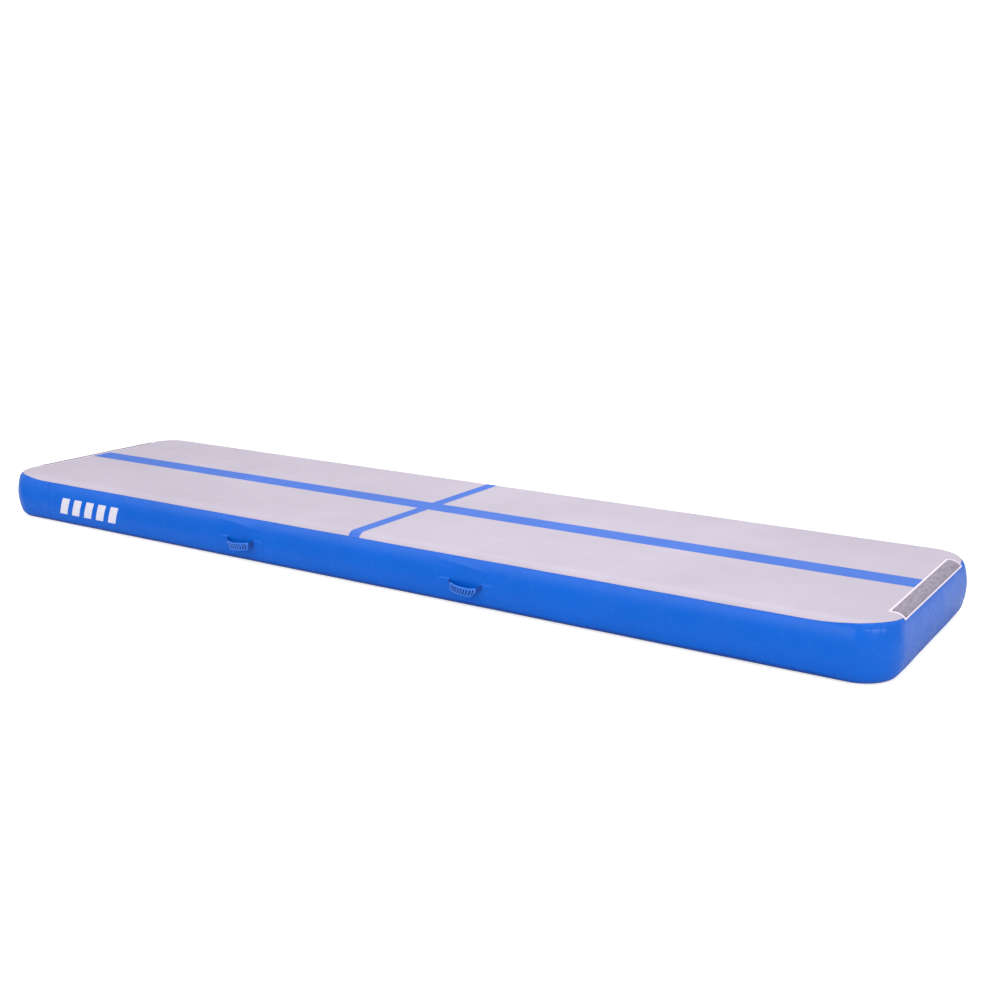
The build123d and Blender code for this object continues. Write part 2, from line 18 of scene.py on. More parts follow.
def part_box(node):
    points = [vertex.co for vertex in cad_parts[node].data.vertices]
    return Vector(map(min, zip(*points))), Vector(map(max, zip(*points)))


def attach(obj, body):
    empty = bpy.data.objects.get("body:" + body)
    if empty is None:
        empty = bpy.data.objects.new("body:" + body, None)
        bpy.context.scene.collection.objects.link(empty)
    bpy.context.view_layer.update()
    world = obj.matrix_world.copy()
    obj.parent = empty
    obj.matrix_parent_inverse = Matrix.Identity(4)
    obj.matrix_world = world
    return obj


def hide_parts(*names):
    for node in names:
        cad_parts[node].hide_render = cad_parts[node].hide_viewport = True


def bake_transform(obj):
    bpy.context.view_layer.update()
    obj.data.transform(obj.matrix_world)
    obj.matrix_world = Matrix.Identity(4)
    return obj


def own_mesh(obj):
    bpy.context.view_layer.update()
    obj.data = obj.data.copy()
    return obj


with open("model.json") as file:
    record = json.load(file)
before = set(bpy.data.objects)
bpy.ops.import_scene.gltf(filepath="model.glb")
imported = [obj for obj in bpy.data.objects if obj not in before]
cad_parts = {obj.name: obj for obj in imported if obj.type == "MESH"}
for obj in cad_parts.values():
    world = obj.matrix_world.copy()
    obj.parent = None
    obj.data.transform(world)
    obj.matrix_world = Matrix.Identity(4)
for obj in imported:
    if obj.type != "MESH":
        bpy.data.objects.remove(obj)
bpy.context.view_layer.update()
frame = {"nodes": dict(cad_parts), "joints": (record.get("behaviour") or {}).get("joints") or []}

# ---- sizes
FRONT_LOW, FRONT_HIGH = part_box("outer_side_band_front")
RIGHT_LOW, RIGHT_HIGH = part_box("outer_side_band_right")
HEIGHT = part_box("top_deck_skin")[1].z
HALF_LENGTH = round(RIGHT_HIGH.x, 3)
HALF_WIDTH = round(-FRONT_LOW.y, 3)
SEAM_X = FRONT_HIGH.x
LAP_X = RIGHT_LOW.x
MID_Z = HEIGHT / 2
SKIN = 0.001
PLAN_RADIUS = 0.140
SHOULDER = 0.038
WALL_HALF_ANGLE = 18
DECK_EDGE = 33
LAP_PROUD = 0.0008
GLUE = 0.00002  # gap between glued skins

HALF_HEIGHT = MID_Z - SKIN
SHOULDER_V = HALF_HEIGHT - SHOULDER
WALL_SIN = sin(radians(WALL_HALF_ANGLE))
WALL_COS = cos(radians(WALL_HALF_ANGLE))
WALL_RADIUS = (SHOULDER_V + SHOULDER * WALL_SIN) / WALL_SIN
INSET = SHOULDER * WALL_COS + WALL_RADIUS * (1 - WALL_COS)
RIM_X = HALF_LENGTH - INSET
RIM_Y = HALF_WIDTH - INSET
RIM_RADIUS = PLAN_RADIUS - INSET
STRAIGHT_X = RIM_X - RIM_RADIUS
STRAIGHT_Y = RIM_Y - RIM_RADIUS
QUARTER_TURN = RIM_RADIUS * pi / 2
PERIMETER = 4 * (STRAIGHT_X + STRAIGHT_Y + QUARTER_TURN)
CORNER_S = STRAIGHT_X + QUARTER_TURN / 2
MM = 0.001

HANDLES = ("front_left", "front_right", "back_left", "back_right")
PATCH_HALF_LENGTH = 0.115
PATCH_HALF_HEIGHT = 0.063
PATCH_CORNER = 0.028
PATCH_Z = 0.085


# ---- the camera
def add_object(name, data):
    """New object in the scene."""
    made = bpy.data.objects.new(name, data)
    bpy.context.scene.collection.objects.link(made)
    return made


def make_camera():
    """The viewing angle: low, from the front and beyond the right-hand end."""
    yaw, pitch, roll = radians(-32.672), radians(13.440), radians(0.058)
    forward = Vector((sin(yaw) * cos(pitch), cos(yaw) * cos(pitch), -sin(pitch)))
    level = Vector((cos(yaw), -sin(yaw), 0))
    upright = level.cross(forward)
    right = cos(roll) * level + sin(roll) * upright
    up = cos(roll) * upright - sin(roll) * level
    data = bpy.data.cameras.new("camera")
    data.lens = 46.63
    data.sensor_width = 36
    data.clip_end = 100
    camera = add_object("camera", data)
    turned = Matrix((right, up, -forward)).transposed().to_4x4()
    camera.matrix_world = Matrix.Translation((2.951, -4.085, 1.4277)) @ turned
    bpy.context.scene.camera = camera


# ---- the rim's surface
def stacked(*parts):
    """Points, or cloth coordinates, from their separate coordinates."""
    return np.stack(np.broadcast_arrays(*parts), axis=-1)


def round_the_mat(s):
    """Points of the line where the flat deck ends and its outward directions, at distances s."""
    s = np.mod(s, PERIMETER)
    left = s > PERIMETER / 2
    s = np.where(left, PERIMETER - s, s)
    back = s > PERIMETER / 4
    s = np.where(back, PERIMETER / 2 - s, s)
    turn = np.clip((s - STRAIGHT_X) / RIM_RADIUS, 0, pi / 2)
    beyond = np.maximum(s - STRAIGHT_X - QUARTER_TURN, 0)
    x = np.minimum(s, STRAIGHT_X) + RIM_RADIUS * np.sin(turn)
    y = beyond - STRAIGHT_Y - RIM_RADIUS * np.cos(turn)
    flip_x, flip_y = np.where(left, -1, 1), np.where(back, -1, 1)
    return x * flip_x, y * flip_y, np.sin(turn) * flip_x, -np.cos(turn) * flip_y


def outline(offset, angle):
    """How far out from the rim's line, and up from mid-height, the outline is at each angle."""
    on_wall = np.abs(angle) <= WALL_HALF_ANGLE
    radius = np.where(on_wall, WALL_RADIUS, SHOULDER) + offset
    centre_out = np.where(on_wall, INSET - WALL_RADIUS, 0.0)
    centre_up = np.where(on_wall, 0.0, np.copysign(SHOULDER_V, angle))
    turn = np.radians(angle)
    return centre_out + radius * np.cos(turn), centre_up + radius * np.sin(turn)


def angle_at(z):
    """Angle of the outline's normal at height z on the wall or its shoulders."""
    v = np.asarray(z, float) - MID_Z
    wall = np.degrees(np.arcsin(np.clip(v / WALL_RADIUS, -1, 1)))
    reach = np.clip((np.abs(v) - SHOULDER_V) / SHOULDER, 0, 1)
    shoulder = np.copysign(np.degrees(np.arcsin(reach)), v)
    return np.where(np.abs(wall) <= WALL_HALF_ANGLE, wall, shoulder)


def bell(x, width):
    """1 at 0, falling smoothly away over width."""
    return np.exp(-((x / width) ** 2))


def plateau(x, half, edge):
    """1 within half of 0, falling to 0 over edge beyond it."""
    t = np.clip((half + edge - np.abs(x)) / edge, 0, 1)
    return t * t * (3 - 2 * t)


def wave(x, length, phase=0.0):
    """Sine wave along x."""
    return np.sin(2 * pi * x / length + phase)


def gathers(s, phase=0.0):
    """Uneven small gathers of the cloth along the rim, from -1 to 1."""
    return wave(s, 0.0113, 2.2 * wave(s, 0.083) + phase)


def squarish(turn, power):
    """A sine or cosine squared off, the more so the smaller the power."""
    return np.sign(turn) * np.abs(turn) ** power


def from_corner(s):
    """Distance along the rim from the middle of the nearest corner."""
    s = np.mod(s, PERIMETER / 2)
    return np.abs(np.minimum(s, PERIMETER / 2 - s) - CORNER_S)


def handle_s(name):
    """Distance round the rim of a handle's middle."""
    x = sum(c.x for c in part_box(f"{name}_handle_grip")) / 2
    return x if name.startswith("front") else PERIMETER / 2 - x


# Creases pressed into each corner: distance along the rim from the corner's middle, angle of the
# normal there, its change in degrees per metre, half length, half width in degrees, depth.
CREASES = (
    (-0.085, 33, 90, 0.014, 1.6, 1.3 * MM),
    (-0.062, 30, -160, 0.012, 1.5, 1.4 * MM),
    (-0.046, 38, 200, 0.011, 1.8, 1.5 * MM),
    (-0.026, 34, -120, 0.016, 1.7, 1.7 * MM),
    (-0.004, 40, 160, 0.014, 1.8, 1.5 * MM),
    (0.016, 33, -200, 0.018, 1.5, 1.5 * MM),
    (0.034, 26, 110, 0.016, 1.4, 1.1 * MM),
    (-0.012, 9, 30, 0.024, 1.1, 0.9 * MM),
    (0.004, 13, -60, 0.016, 1.0, 0.7 * MM),
    (0.050, -12, 40, 0.026, 1.5, 0.9 * MM),
    (-0.020, -20, -40, 0.030, 1.5, 0.9 * MM),
)


def relief(s, angle):
    """How far the pressure moves the skins outward from the ideal outline."""
    s, angle = np.broadcast_arrays(np.asarray(s, float), np.asarray(angle, float))
    slow = wave(s, PERIMETER / 23, 1.1) + 0.7 * wave(s, PERIMETER / 41, 0.02 * angle + 2)
    slow = slow + 0.5 * wave(s, PERIMETER / 67, -0.03 * angle)
    slow = slow + 0.3 * wave(s, PERIMETER / 97, 0.05 * angle)
    moved = 0.28 * MM * slow * np.cos(np.radians(angle))

    near = from_corner(s)
    uneven = 0.65 + 0.35 * wave(s, 0.047, 0.7)
    folds = bell(near, 0.085) * bell(np.abs(angle) - 46, 20) * gathers(s, 0.03 * angle)
    pleats = bell(near, 0.10) * bell(angle - 27, 12)
    pleats = pleats * wave(s, 0.019, 1.7 * wave(s, 0.12) - 0.06 * angle)
    moved = moved + uneven * (0.75 * MM * folds + 0.8 * MM * pleats)

    beyond = np.mod(s, PERIMETER / 2)
    beyond = np.where(beyond > PERIMETER / 4, PERIMETER / 2 - beyond, beyond) - CORNER_S
    for along, height, tilt, length, width, depth in CREASES:
        away = beyond - along
        moved = moved - depth * bell(away, length) * bell(angle - height - tilt * away, width)

    z = MID_Z + outline(0, angle)[1]
    up = z - PATCH_Z
    for name in HANDLES:
        along = np.mod(s - handle_s(name) + PERIMETER / 2, PERIMETER) - PERIMETER / 2
        dish = plateau(along, 0.07, 0.08) * plateau(up, 0.03, 0.05)
        lump = bell(along + 0.014, 0.08) * bell(z - 0.152 + 0.106 * along, 0.009)
        puckers = wave(up, 0.021, 1.0) * plateau(up, 0.03, 0.02)
        puckers = puckers * bell(np.abs(along) - 0.128, 0.016)
        moved = moved - 2.0 * MM * dish + 2.2 * MM * lump + 0.35 * MM * puckers

    valve = plateau(s - valve_s(), 0.035, 0.03) * plateau(z - MID_Z, 0.035, 0.03)
    return moved * (1 - valve)


def valve_s():
    """Distance round the rim of the inflation valve."""
    return PERIMETER / 2 - sum(c.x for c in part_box("valve_body")) / 2


def rim_points(s, angle, offset):
    """Points of the rim's surface, in rows by angle and columns by s."""
    out, up = outline(offset + relief(s, angle), angle)
    x, y, out_x, out_y = round_the_mat(s)
    return stacked(x + out_x * out, y + out_y * out, MID_Z + up)


def outline_length(angle):
    """Length along the outline from the deck's edge of the shoulder down to each angle."""
    angle = np.asarray(angle, float)
    top = SHOULDER * np.radians(90 - np.maximum(angle, WALL_HALF_ANGLE))
    wall = np.clip(angle, -WALL_HALF_ANGLE, WALL_HALF_ANGLE)
    low = SHOULDER * np.radians(np.maximum(-WALL_HALF_ANGLE - angle, 0))
    return top + WALL_RADIUS * np.radians(WALL_HALF_ANGLE - wall) + low


def stations(*stops):
    """Rising values through the first numbers of the stops, no further apart than the second.

    Each stop is (value, largest step up to the next stop)."""
    values = [np.array([stops[0][0]])]
    for (start, step), (end, _) in zip(stops, stops[1:]):
        count = max(1, int(np.ceil((end - start) / step - 1e-6)))
        values.append(np.linspace(start, end, count + 1)[1:])
    return np.concatenate(values)


# ---- meshes
def quads_of(index):
    """The quads of a grid of vertex numbers."""
    corners = (index[:-1, :-1], index[:-1, 1:], index[1:, 1:], index[1:, :-1])
    return np.stack([c.ravel() for c in corners], axis=-1)


def new_piece(name, vertices, faces, uv, weld=0.0, sharp=35, groove=None):
    """Mesh object with its faces turned outward."""
    mesh = bpy.data.meshes.new(name)
    mesh.from_pydata(np.asarray(vertices).tolist(), [], faces)
    layer = mesh.uv_layers.new(name="cloth")
    corner = np.zeros(len(mesh.loops), np.int32)
    mesh.loops.foreach_get("vertex_index", corner)
    layer.data.foreach_set("uv", np.asarray(uv, np.float32)[corner].ravel())
    if groove is not None:
        # Marked grooves, where the grip's finish paints shade.
        mark = mesh.attributes.new("groove", "FLOAT", "POINT")
        mark.data.foreach_set("value", np.asarray(groove, np.float32))
    work = bmesh.new()
    work.from_mesh(mesh)
    if weld:
        bmesh.ops.remove_doubles(work, verts=work.verts, dist=weld)
    bmesh.ops.recalc_face_normals(work, faces=work.faces)
    work.to_mesh(mesh)
    work.free()
    mesh.shade_smooth()
    mesh.set_sharp_from_angle(angle=radians(sharp))
    return add_object(name, mesh)


def sheet_piece(name, outer, inner, uv, wrap=False, weld=0.0):
    """Closed thin piece between two grids of points."""
    rows, cols = outer.shape[:2]
    count = rows * cols
    index = np.arange(count).reshape(rows, cols)
    if wrap:
        index = np.hstack([index, index[:, :1]])
    front = quads_of(index)
    faces = [front, front[:, ::-1] + count]
    edges = [index[0], index[-1]]
    if not wrap:
        edges += [index[:, 0], index[:, -1]]
    faces += [quads_of(np.stack([line, line + count])) for line in edges]
    points = np.concatenate([outer, inner]).reshape(-1, 3)
    uv = np.concatenate([uv, uv]).reshape(-1, 2)
    return new_piece(name, points, np.concatenate(faces).tolist(), uv, weld)


def tube_piece(name, rings, uv, sharp=35, groove=None):
    """Closed piece through rings of points, with its two ends filled."""
    rows, cols = rings.shape[:2]
    index = np.arange(rows * cols).reshape(rows, cols)
    index = np.hstack([index, index[:, :1]])
    points = np.concatenate([rings.reshape(-1, 3), [rings[0].mean(0), rings[-1].mean(0)]])
    uv = np.concatenate([uv.reshape(-1, 2), [uv[0, 0], uv[-1, -1]]])
    start, finish = rows * cols, rows * cols + 1
    fans = [[start, int(a), int(b)] for a, b in zip(index[0], index[0][1:])]
    fans += [[finish, int(b), int(a)] for a, b in zip(index[-1], index[-1][1:])]
    if groove is not None:
        groove = np.concatenate([groove.ravel(), [0, 0]])
    faces = quads_of(index).tolist() + fans
    return new_piece(name, points, faces, uv, sharp=sharp, groove=groove)


def dress(piece, material):
    """Give a piece its material."""
    piece.data.materials.append(material)
    return piece


def joint_named(name):
    """A joint of the frame."""
    return next(j for j in frame["joints"] if j["name"] == name)


def fix_to(piece, body, *nodes):
    """Let a piece ride on a body and stand for CAD nodes."""
    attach(piece, body)
    if nodes:
        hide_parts(*nodes)


# ---- materials
class Nodes:
    """A node tree, with short calls for the nodes used here."""

    def __init__(self, tree):
        self.tree = tree
        self.place = self.node("TexCoord").outputs["Object"]

    def feed(self, socket, value):
        """Link an input to a socket, or set it to a number."""
        if isinstance(value, bpy.types.NodeSocket):
            self.tree.links.new(value, socket)
        else:
            socket.default_value = value

    def node(self, kind, inputs=()):
        """New shader node, with some of its inputs fed."""
        node = self.tree.nodes.new("ShaderNode" + kind)
        for key, value in dict(inputs).items():
            self.feed(node.inputs[key], value)
        return node

    def axis(self, place, axis):
        """One of a place's three coordinates."""
        return self.node("SeparateXYZ", {0: place}).outputs[axis]

    def noise(self, size, detail=3, roughness=0.55, place=None):
        """Noise whose features are about size metres across."""
        inputs = {"Scale": 1 / size, "Detail": detail, "Roughness": roughness}
        inputs["Vector"] = place or self.place
        return self.node("TexNoise", inputs).outputs["Fac"]

    def math(self, operation, a, b=0.0):
        """One arithmetic node on sockets or numbers."""
        node = self.node("Math", {0: a, 1: b})
        node.operation = operation
        return node.outputs[0]

    def ribs(self, pitch, axis, place=None):
        """Sine ribs from -1 to 1, pitch metres apart along an axis of the place."""
        along = self.axis(place or self.place, axis)
        return self.math("SINE", self.math("MULTIPLY", along, 2 * pi / pitch))

    def weave(self, pitch, cloth):
        """A plain weave of threads pitch metres apart, from -1 to 1."""
        return self.math("MULTIPLY", self.ribs(pitch, 0, cloth), self.ribs(pitch, 1, cloth))

    def spread(self, value, low, high, to_low, to_high):
        """Map a value from one range to another, clamped."""
        inputs = {"Value": value, "From Min": low, "From Max": high}
        inputs |= {"To Min": to_low, "To Max": to_high}
        return self.node("MapRange", inputs).outputs["Result"]

    def colours(self, value, low, high, dark, light):
        """Colour between dark and light as value goes from low to high."""
        node = self.node("ValToRGB", {"Fac": value})
        for stop, position, colour in zip(node.color_ramp.elements, (low, high), (dark, light)):
            stop.position = position
            stop.color = (*colour, 1)
        return node.outputs["Color"]

    def mix(self, factor, a, b):
        """Mix two colours, each a socket or a triple."""
        node = self.node("Mix", {"Factor": factor})
        node.data_type = "RGBA"
        for slot, value in ((6, a), (7, b)):
            self.feed(node.inputs[slot], (*value, 1) if isinstance(value, tuple) else value)
        return node.outputs[2]


class Finish(Nodes):
    """A material on the Principled shader."""

    def __init__(self, name, colour, roughness, specular=0.5, metallic=0.0, sheen=0.0):
        self.material = bpy.data.materials.new(name)
        self.material.use_nodes = True
        super().__init__(self.material.node_tree)
        self.inputs = self.tree.nodes["Principled BSDF"].inputs
        self.inputs["Base Color"].default_value = (*colour, 1)
        self.inputs["Roughness"].default_value = roughness
        self.inputs["Specular IOR Level"].default_value = specular
        self.inputs["Metallic"].default_value = metallic
        self.inputs["Sheen Weight"].default_value = sheen
        self.height = None

    def cloth(self):
        """Coordinates that run along the cloth, in metres."""
        node = self.node("UVMap")
        node.uv_map = "cloth"
        return node.outputs["UV"]

    def stretched(self, x, y, z):
        """The object's coordinates, scaled along each axis."""
        inputs = {"Scale": (x, y, z), "Vector": self.place}
        return self.node("Mapping", inputs).outputs["Vector"]

    def cells(self, size):
        """Distance from the middle of random cells about size metres across."""
        inputs = {"Scale": 1 / size, "Vector": self.place}
        return self.node("TexVoronoi", inputs).outputs["Distance"]

    def paint(self, colour):
        """Use a colour socket as the base colour."""
        self.feed(self.inputs["Base Color"], colour)

    def gloss(self, value, low, high, shiny, dull):
        """Spread a value over the roughness."""
        self.feed(self.inputs["Roughness"], self.spread(value, low, high, shiny, dull))

    def bump(self, value, depth):
        """Add relief of the given depth in metres to the surface."""
        node = self.node("Bump", {"Strength": 1.0, "Distance": depth, "Height": value})
        if self.height is not None:
            self.feed(node.inputs["Normal"], self.height)
        self.height = node.outputs["Normal"]
        self.feed(self.inputs["Normal"], self.height)


def shade(colour, factor):
    """The colour made darker or lighter."""
    return tuple(min(1.0, c * factor) for c in colour)


DECK_GREY = (0.384, 0.346, 0.418)
WALL_BLUE = (0.0, 0.088, 0.460)
STRIPE_BLUE = (0.034, 0.118, 0.475)
BOTTOM_BLUE = (0.002, 0.06, 0.34)
PATCH_WHITE = (0.62, 0.55, 0.64)
INNER_GREY = (0.42, 0.42, 0.44)
HOOK_GREY = (0.195, 0.173, 0.225)
PRINT_WHITE = (0.56, 0.54, 0.62)
GRIP_BLUE = (0.014, 0.125, 0.54)
# Painted shade: a near-black blue laid into the grip's rib grooves.
GRIP_GROOVE_SHADE = (0.0, 0.010, 0.11)
# Navy webbing, made darker still as painted shade for where it lies in shadow between the grip and
# the wall.
WEBBING_BLUE_AND_SHADE = (0.0, 0.045, 0.27)
PLASTIC_BLACK = (0.05, 0.055, 0.06)
RUBBER_BLACK = (0.02, 0.02, 0.022)
STEEL_GREY = (0.62, 0.62, 0.6)
YARN_WHITE = (0.75, 0.75, 0.72)

THREAD_PITCH = 1.3 * MM
STITCH_ROW_PITCH = 9.0 * MM

# Roughness, specular level, scuffs, depth of weave, depth of swell and depth of grain.
FLAT_CLOTH = (0.5, 0.2, 0.03, 0.03 * MM, 0.12 * MM, 0.02 * MM)
WALL_CLOTH = (0.25, 0.2, 0.02, 0.004 * MM, 0.35 * MM, 0.005 * MM)
PATCH_CLOTH = (0.45, 0.4, 0.04, 0.04 * MM, 0.1 * MM, 0.02 * MM)


def pvc(name, colour, roughness, specular, scuff, weave_depth, swell, grain):
    """Coated cloth: a faint weave under a satin skin, clouding, light scuffs and dust."""
    made = Finish(name, colour, roughness, specular)
    cloud = made.noise(0.35, 4)
    tone = made.colours(cloud, 0.3, 0.7, shade(colour, 0.95), shade(colour, 1.05))
    dusty = tuple(0.75 * c + 0.25 * 0.5 for c in colour)
    scratches = made.noise(0.02, 6, 0.7, made.stretched(1.0, 1.0, 0.25))
    marks = made.spread(scratches, 0.62, 0.78, 0.0, scuff * 4)
    made.paint(made.mix(marks, tone, dusty))
    patches = made.noise(0.12, 5, 0.6)
    made.gloss(patches, 0.3, 0.7, roughness - 0.05, roughness + 0.07)
    made.bump(made.noise(0.11, 2, 0.4), swell)
    made.bump(made.noise(0.006, 2, 0.5), grain)
    made.bump(made.weave(THREAD_PITCH, made.cloth()), weave_depth)
    return made


def deck_finish():
    """Grey deck cloth, with the faint rows of the drop stitches showing through."""
    made = pvc("deck_pvc", DECK_GREY, *FLAT_CLOTH)
    made.bump(made.ribs(STITCH_ROW_PITCH, 1, made.cloth()), 0.03 * MM)
    return made.material


def hook_finish():
    """Hook and loop tape: matted grey nylon pile with brushed streaks."""
    made = Finish("hook_and_loop", HOOK_GREY, 0.85, 0.2, sheen=0.12)
    streaks = made.noise(0.012, 6, 0.7, made.stretched(1.0, 0.35, 1.0))
    patches = made.noise(0.05, 4, 0.6)
    tone = made.colours(streaks, 0.32, 0.68, shade(HOOK_GREY, 0.68), shade(HOOK_GREY, 1.35))
    worn = made.spread(patches, 0.5, 0.7, 0.0, 0.25)
    made.paint(made.mix(worn, tone, shade(HOOK_GREY, 1.5)))
    made.gloss(streaks, 0.3, 0.7, 0.75, 0.95)
    made.bump(made.cells(1.8 * MM), 0.5 * MM)
    made.bump(made.noise(0.0012, 3), 0.3 * MM)
    return made.material


def print_finish():
    """Screen-printed white ink, slightly uneven and crazed where the wall flexes."""
    made = Finish("print_white", PRINT_WHITE, 0.4, 0.45)
    ink = made.noise(0.015, 5, 0.65)
    made.paint(made.colours(ink, 0.3, 0.7, shade(PRINT_WHITE, 0.9), shade(PRINT_WHITE, 1.04)))
    made.gloss(made.noise(0.04, 4), 0.3, 0.7, 0.34, 0.5)
    made.bump(made.weave(THREAD_PITCH, made.cloth()), 0.02 * MM)
    made.bump(made.noise(0.003, 3), 0.03 * MM)
    return made.material


def webbing_finish(name, colour):
    """Woven polyester webbing, with painted shade where its threads dip and painted highlight
    where they rise.
    """
    made = Finish(name, colour, 0.7, 0.2, sheen=0.05)
    weave = made.weave(2.4 * MM, made.cloth())
    thread = made.noise(0.0008, 3)
    rise = made.spread(weave, -1, 1, 0, 1)
    # Painted shade and highlight: the colour follows the weave's height, darker in its dips and
    # lighter on its raised threads.
    tone = made.colours(rise, 0, 1, shade(colour, 0.6), shade(colour, 1.25))
    fuzz = made.spread(thread, 0.3, 0.7, 0.0, 0.3)
    made.paint(made.mix(fuzz, tone, shade(colour, 0.8)))
    made.gloss(thread, 0.3, 0.7, 0.62, 0.82)
    made.bump(weave, 0.25 * MM)
    made.bump(thread, 0.1 * MM)
    return made.material


def moulded_finish(name, colour, roughness, grain=0.05 * MM, specular=0.45, hollow_shade=None):
    """Moulded plastic or rubber: fine spark-eroded grain, mould marks and rubbed edges.

    The hollow shade colour, if any, is painted shade laid into the mesh's marked grooves."""
    made = Finish(name, colour, roughness, specular)
    cloud = made.noise(0.03, 4)
    edge = made.node("NewGeometry").outputs["Pointiness"]
    tone = made.colours(cloud, 0.3, 0.7, shade(colour, 0.88), shade(colour, 1.1))
    rubbed = made.spread(edge, 0.52, 0.6, 0.0, 0.35)
    tone = made.mix(rubbed, tone, tuple(0.6 * c + 0.2 for c in colour))
    if hollow_shade:
        # Painted shade: the marked grooves are mixed towards the hollow shade colour.
        mark = made.node("Attribute")
        mark.attribute_name = "groove"
        tone = made.mix(mark.outputs["Fac"], tone, hollow_shade)
    made.paint(tone)
    made.gloss(made.noise(0.008, 5), 0.3, 0.7, roughness - 0.07, roughness + 0.1)
    made.bump(made.noise(0.0006, 2), grain)
    return made.material


def steel_finish():
    """Drawn spring wire: bright, with fine die lines."""
    made = Finish("spring_steel", STEEL_GREY, 0.28, metallic=1.0)
    tone = made.noise(0.004, 4)
    made.paint(made.colours(tone, 0.3, 0.7, (0.5, 0.5, 0.49), (0.72, 0.71, 0.69)))
    made.gloss(made.noise(0.001, 5), 0.3, 0.7, 0.2, 0.4)
    made.bump(made.noise(0.0003, 2), 0.01 * MM)
    return made.material


def yarn_finish():
    """Twisted polyester yarn."""
    made = Finish("yarn", YARN_WHITE, 0.75, 0.25, sheen=0.2)
    tone = made.noise(0.01, 4)
    made.paint(made.colours(tone, 0.3, 0.7, (0.66, 0.66, 0.62), (0.82, 0.82, 0.8)))
    made.gloss(made.noise(0.002, 3), 0.3, 0.7, 0.65, 0.85)
    made.bump(made.ribs(1.1 * MM, 2), 0.15 * MM)
    return made.material


# ---- skins of the mat
def loop_stations():
    """Distances round the whole rim, close together at the corners where the skins pucker."""
    half_arc = QUARTER_TURN / 2 + 0.055
    near_x = CORNER_S - half_arc
    near_y = CORNER_S + half_arc
    quarter = stations((0, 0.018), (near_x, 0.0023), (near_y, 0.018), (PERIMETER / 4, 1))
    half = np.concatenate([quarter, (PERIMETER / 2 - quarter[:-1])[::-1]])
    return np.concatenate([half, half[1:-1] + PERIMETER / 2])


def make_face_skin(name, side, material, node):
    """Deck (side 1) or bottom (side -1): a flat field whose rim laps over the shoulder."""
    s = loop_stations()
    x, y, out_x, out_y = round_the_mat(s)
    spine = np.clip(x, -(RIM_X - RIM_Y), RIM_X - RIM_Y)
    shares = np.array([0, 0.08, 0.2, 0.32, 0.44, 0.56, 0.68, 0.78, 0.86, 0.92, 0.96, 0.985])
    edge = DECK_EDGE + 0.35 * wave(s, 0.31)
    edge = edge + bell(from_corner(s), 0.10) * (28 + 0.5 * gathers(s))
    shoulder = np.linspace(0, 1, 25)[:, None]
    angles = side * (90 - shoulder * (90 - edge))

    def layer(offset):
        share = shares[:, None]
        rise = side * (HALF_HEIGHT + offset + relief(s, side * 90) * share**8)
        flat = stacked(spine + share * (x - spine), share * y, MID_Z + rise)
        return np.concatenate([flat, rim_points(s[None, :], angles, offset)])

    outer, inner = layer(SKIN), layer(GLUE)
    reach = SHOULDER * np.radians(90 - np.abs(angles))
    lapped = stacked(x + out_x * reach, y + out_y * reach)
    uv = np.concatenate([outer[: len(shares), :, :2], lapped])
    piece = sheet_piece(name, outer, inner, uv, wrap=True, weld=1e-6)
    fix_to(dress(piece, material), "mat", node)


def wall_angles():
    """Angles down the whole outline, close together where it is seen."""
    top = np.linspace(88, 50, 9)
    seen = np.linspace(50, WALL_HALF_ANGLE, 33)[1:]
    wall = np.linspace(WALL_HALF_ANGLE, -WALL_HALF_ANGLE, 37)[1:]
    low = np.linspace(-WALL_HALF_ANGLE, -50, 17)[1:]
    return np.concatenate([top, seen, wall, low, -top[::-1][1:]])


def wall_layer(name, s, angles, outer, inner, wrap=False):
    """Piece of the wall between two offsets."""
    s, angles = s[None, :], angles[:, None]
    layers = [rim_points(s, angles, offset) for offset in (outer, inner)]
    return sheet_piece(name, *layers, stacked(s, outline_length(angles)), wrap)


def make_long_band(side_name, middle_s, material):
    """Front or back band: one strip of blue cloth between the seams."""
    stops = [(-SEAM_X, 0.012), (-0.70, 0.006), (-0.37, 0.016), (0.37, 0.006), (0.70, 0.012)]
    if side_name == "back":
        valve = valve_s() - PERIMETER / 2
        stops += [(valve - 0.06, 0.004), (valve + 0.06, 0.012)]
    s = stations(*stops, (SEAM_X, 1)) + middle_s
    piece = wall_layer(f"{side_name}_wall", s, wall_angles(), 0, GLUE - SKIN)
    if side_name == "back":
        bore_hole(piece)
    fix_to(dress(piece, material), "mat", f"outer_side_band_{side_name}")


def bore_hole(piece):
    """Cut the round hole that the valve's barrel goes through."""
    centre = sum(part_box("valve_body"), Vector()) / 2
    place = Matrix.Translation((centre.x, HALF_WIDTH, centre.z)) @ Matrix.Rotation(pi / 2, 4, "X")
    size = {"segments": 64, "radius1": 21.4 * MM, "radius2": 21.4 * MM, "depth": 50 * MM}
    work = bmesh.new()
    bmesh.ops.create_cone(work, cap_ends=True, matrix=place, **size)
    mesh = bpy.data.meshes.new("cutter")
    work.to_mesh(mesh)
    work.free()
    cutter = add_object("cutter", mesh)
    cut = piece.modifiers.new("hole", "BOOLEAN")
    cut.object = cutter
    cut.operation = "DIFFERENCE"
    graph = bpy.context.evaluated_depsgraph_get()
    made = bpy.data.meshes.new_from_object(piece.evaluated_get(graph))
    piece.modifiers.clear()
    piece.data = made
    bpy.data.objects.remove(cutter)


